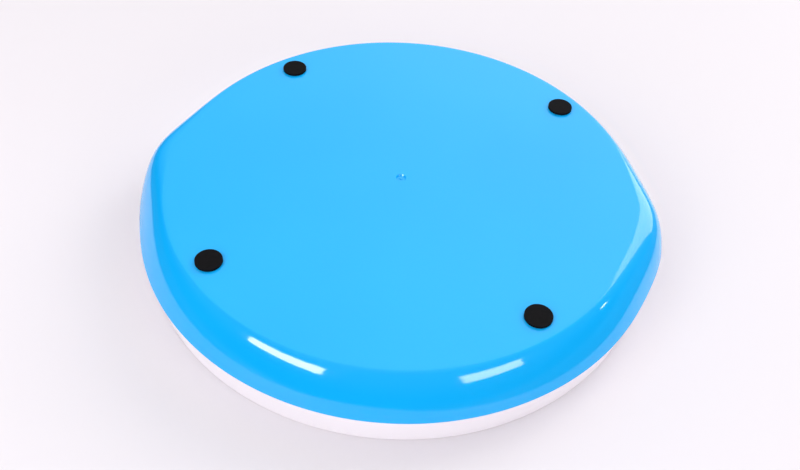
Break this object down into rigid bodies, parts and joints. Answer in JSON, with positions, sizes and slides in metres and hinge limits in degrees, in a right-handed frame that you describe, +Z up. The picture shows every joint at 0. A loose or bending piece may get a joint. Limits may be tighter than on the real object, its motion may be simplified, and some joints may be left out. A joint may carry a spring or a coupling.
{
  "type": "rotating tray",
  "caption": "Low round rotating tray lying face down: white tray turning on a ball ring under a blue base with blunt side grips and rubber feet.",
  "frame": {"origin": "on the tray's turning axis, at the level of the tray's lip, which is the lowest plane while the article lies face down", "axes": "+Z up out of the flat underside of the base, with the feet on top; X runs through the two grips; turning it 180 degrees about X stands it on its feet as in use"},
  "size_m": [0.251, 0.244, 0.0372],
  "materials": {
    "blue_plastic": "gloss moulded",
    "white_plastic": "semi-gloss moulded",
    "natural_plastic": "satin, self-coloured",
    "plated_steel": "zinc plated",
    "ball_steel": "polished",
    "black_rubber": "matte, die-cut",
    "adhesive_tape": "dull"
  },
  "bodies": {
    "base": {"base_shell": "blue_plastic", "foot_1": "black_rubber", "foot_2": "black_rubber", "foot_3": "black_rubber", "foot_4": "black_rubber", "foot_tape_1": "adhesive_tape", "foot_tape_2": "adhesive_tape", "foot_tape_3": "adhesive_tape", "foot_tape_4": "adhesive_tape", "pivot_washer": "plated_steel", "pivot_screw": "plated_steel"},
    "tray": {"turntable_tray": "white_plastic", "pivot_bush": "natural_plastic", "hub_cap": "white_plastic"},
    "ball_ring": {"ball_cage": "natural_plastic", "ball_1": "ball_steel", "ball_2": "ball_steel", "ball_3": "ball_steel", "ball_4": "ball_steel", "ball_5": "ball_steel", "ball_6": "ball_steel", "ball_7": "ball_steel", "ball_8": "ball_steel", "ball_9": "ball_steel", "ball_10": "ball_steel", "ball_11": "ball_steel", "ball_12": "ball_steel"}
  },
  "joints": [
    {"name": "tray_spin", "type": "hinge", "parent": "base", "child": "tray", "pos_m": [0, 0, 0.0271], "axis": [0, 0, 1], "continuous": true},
    {"name": "ball_ring_spin", "type": "hinge", "parent": "base", "child": "ball_ring", "pos_m": [0, 0, 0.0271], "axis": [0, 0, 1], "continuous": true}
  ],
  "couplings": [
    {"joint": "ball_ring_spin", "follows": "tray_spin", "ratio": 0.5}
  ]
}
